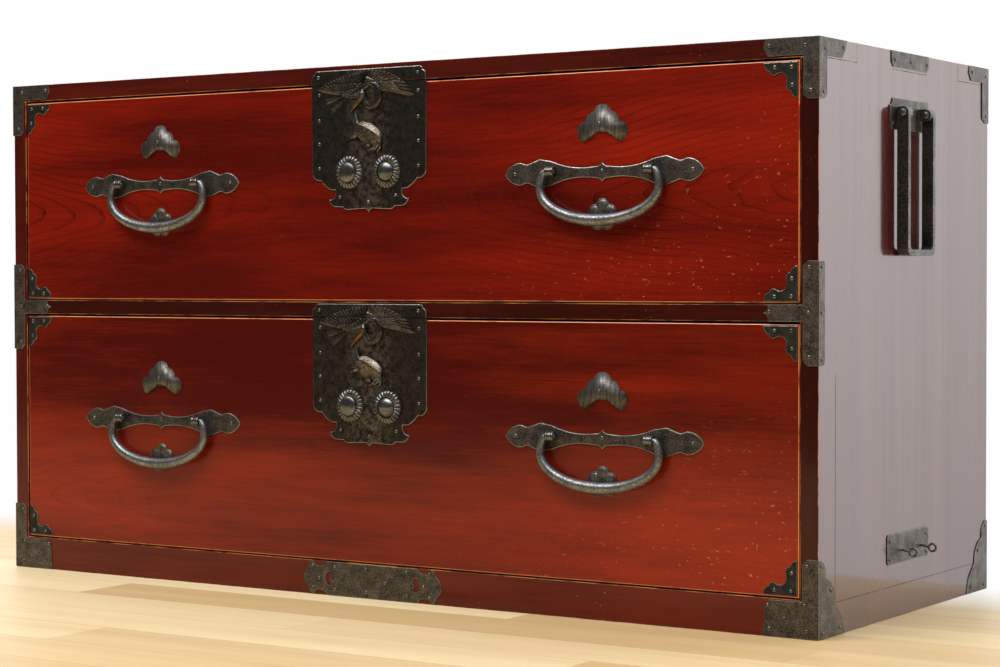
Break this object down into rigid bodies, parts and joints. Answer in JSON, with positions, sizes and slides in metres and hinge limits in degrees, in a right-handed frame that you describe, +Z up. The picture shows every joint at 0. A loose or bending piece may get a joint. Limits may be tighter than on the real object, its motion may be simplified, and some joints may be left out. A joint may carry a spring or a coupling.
{
  "type": "east asian clothing chest",
  "caption": "Low lacquered clothing chest section with stacked drawers, iron lock plates, bail handles and a swinging carry handle on each side.",
  "frame": {"origin": "on the floor under the middle of the case", "axes": "+X to the right seen from the front, +Y to the back, +Z up; the drawers open towards -Y"},
  "size_m": [1.138, 0.466, 0.6],
  "materials": {
    "case_lacquer": "dark red-brown polished lacquer",
    "drawer_lacquer": "translucent red lacquer over visible grain",
    "raw_wood": "bare softwood",
    "sheet_iron": "hammered black-brown iron sheet",
    "forged_iron": "smooth forged iron, worn bright on top",
    "nail_iron": "small worn domed nail heads"
  },
  "bodies": {
    "case": {"right_side_board": "case_lacquer", "left_side_board": "case_lacquer", "top_board": "case_lacquer", "bottom_rail": "case_lacquer", "middle_rail": "case_lacquer", "bottom_board": "raw_wood", "dust_board": "raw_wood", "bottom_battens": "raw_wood", "back_panel": "raw_wood", "drawer_stops": "raw_wood", "top_corner_irons": "sheet_iron", "middle_corner_irons": "sheet_iron", "bottom_corner_irons": "sheet_iron", "rear_top_irons": "sheet_iron", "rear_bottom_irons": "sheet_iron", "top_edge_plates": "sheet_iron", "base_plate": "sheet_iron", "carry_plates": "forged_iron", "carry_pins": "forged_iron", "ring_plates": "sheet_iron", "ring_pins": "forged_iron", "case_nails": "nail_iron", "upper_lock_keeper": "sheet_iron", "lower_lock_keeper": "sheet_iron"},
    "right_carry_handle": {"right_carry_handle": "forged_iron"},
    "left_carry_handle": {"left_carry_handle": "forged_iron"},
    "upper_drawer": {"upper_drawer_front": "drawer_lacquer", "upper_drawer_sides": "raw_wood", "upper_drawer_back": "raw_wood", "upper_drawer_bottom": "raw_wood", "upper_corner_plates": "sheet_iron", "upper_lock_plate": "sheet_iron", "upper_lock_rosettes": "sheet_iron", "upper_lock_case": "sheet_iron", "upper_pull_plates": "sheet_iron", "upper_landing_plates": "sheet_iron", "upper_bail_eyes": "forged_iron", "upper_drawer_nails": "nail_iron"},
    "upper_left_bail": {"upper_left_bail": "forged_iron"},
    "upper_right_bail": {"upper_right_bail": "forged_iron"},
    "upper_lock_tortoise": {"upper_lock_tortoise": "sheet_iron"},
    "upper_lock_button": {"upper_lock_button": "sheet_iron"},
    "upper_lock_bolt": {"upper_lock_bolt": "sheet_iron"},
    "lower_drawer": {"lower_drawer_front": "drawer_lacquer", "lower_drawer_sides": "raw_wood", "lower_drawer_back": "raw_wood", "lower_drawer_bottom": "raw_wood", "lower_corner_plates": "sheet_iron", "lower_lock_plate": "sheet_iron", "lower_lock_rosettes": "sheet_iron", "lower_lock_case": "sheet_iron", "lower_pull_plates": "sheet_iron", "lower_landing_plates": "sheet_iron", "lower_bail_eyes": "forged_iron", "lower_drawer_nails": "nail_iron"},
    "lower_left_bail": {"lower_left_bail": "forged_iron"},
    "lower_right_bail": {"lower_right_bail": "forged_iron"},
    "lower_lock_tortoise": {"lower_lock_tortoise": "sheet_iron"},
    "lower_lock_button": {"lower_lock_button": "sheet_iron"},
    "lower_lock_bolt": {"lower_lock_bolt": "sheet_iron"}
  },
  "joints": [
    {"name": "upper_drawer_slide", "type": "slide", "parent": "case", "child": "upper_drawer", "axis": [0, -1, 0], "range_m": [0, 0.34]},
    {"name": "upper_left_bail_hinge", "type": "hinge", "parent": "upper_drawer", "child": "upper_left_bail", "pos_m": [-0.31002, -0.2323, 0.4735], "axis": [-1, 0, 0], "range_deg": [0, 172]},
    {"name": "upper_right_bail_hinge", "type": "hinge", "parent": "upper_drawer", "child": "upper_right_bail", "pos_m": [0.3013, -0.2323, 0.4735], "axis": [-1, 0, 0], "range_deg": [0, 172]},
    {"name": "upper_tortoise_swing", "type": "hinge", "parent": "upper_drawer", "child": "upper_lock_tortoise", "pos_m": [-0.002, -0.2261, 0.5335], "axis": [0, -1, 0], "range_deg": [0, 60]},
    {"name": "upper_button_press", "type": "slide", "parent": "upper_drawer", "child": "upper_lock_button", "axis": [0, 1, 0], "range_m": [0, 0.003], "stiffness_N_per_m": 400},
    {"name": "upper_bolt_slide", "type": "slide", "parent": "upper_drawer", "child": "upper_lock_bolt", "axis": [0, 0, 1], "range_m": [0, 0.009]},
    {"name": "lower_drawer_slide", "type": "slide", "parent": "case", "child": "lower_drawer", "axis": [0, -1, 0], "range_m": [0, 0.34]},
    {"name": "lower_left_bail_hinge", "type": "hinge", "parent": "lower_drawer", "child": "lower_left_bail", "pos_m": [-0.31002, -0.2323, 0.1925], "axis": [-1, 0, 0], "range_deg": [0, 172]},
    {"name": "lower_right_bail_hinge", "type": "hinge", "parent": "lower_drawer", "child": "lower_right_bail", "pos_m": [0.3013, -0.2323, 0.1925], "axis": [-1, 0, 0], "range_deg": [0, 172]},
    {"name": "lower_tortoise_swing", "type": "hinge", "parent": "lower_drawer", "child": "lower_lock_tortoise", "pos_m": [-0.002, -0.2261, 0.2705], "axis": [0, -1, 0], "range_deg": [0, 60]},
    {"name": "lower_button_press", "type": "slide", "parent": "lower_drawer", "child": "lower_lock_button", "axis": [0, 1, 0], "range_m": [0, 0.003], "stiffness_N_per_m": 400},
    {"name": "lower_bolt_slide", "type": "slide", "parent": "lower_drawer", "child": "lower_lock_bolt", "axis": [0, 0, 1], "range_m": [0, 0.009]},
    {"name": "right_carry_handle_hinge", "type": "hinge", "parent": "case", "child": "right_carry_handle", "pos_m": [0.5593, -0.0033, 0.535], "axis": [0, -1, 0], "range_deg": [0, 178]},
    {"name": "left_carry_handle_hinge", "type": "hinge", "parent": "case", "child": "left_carry_handle", "pos_m": [-0.5593, -0.0033, 0.535], "axis": [0, 1, 0], "range_deg": [0, 178]}
  ]
}
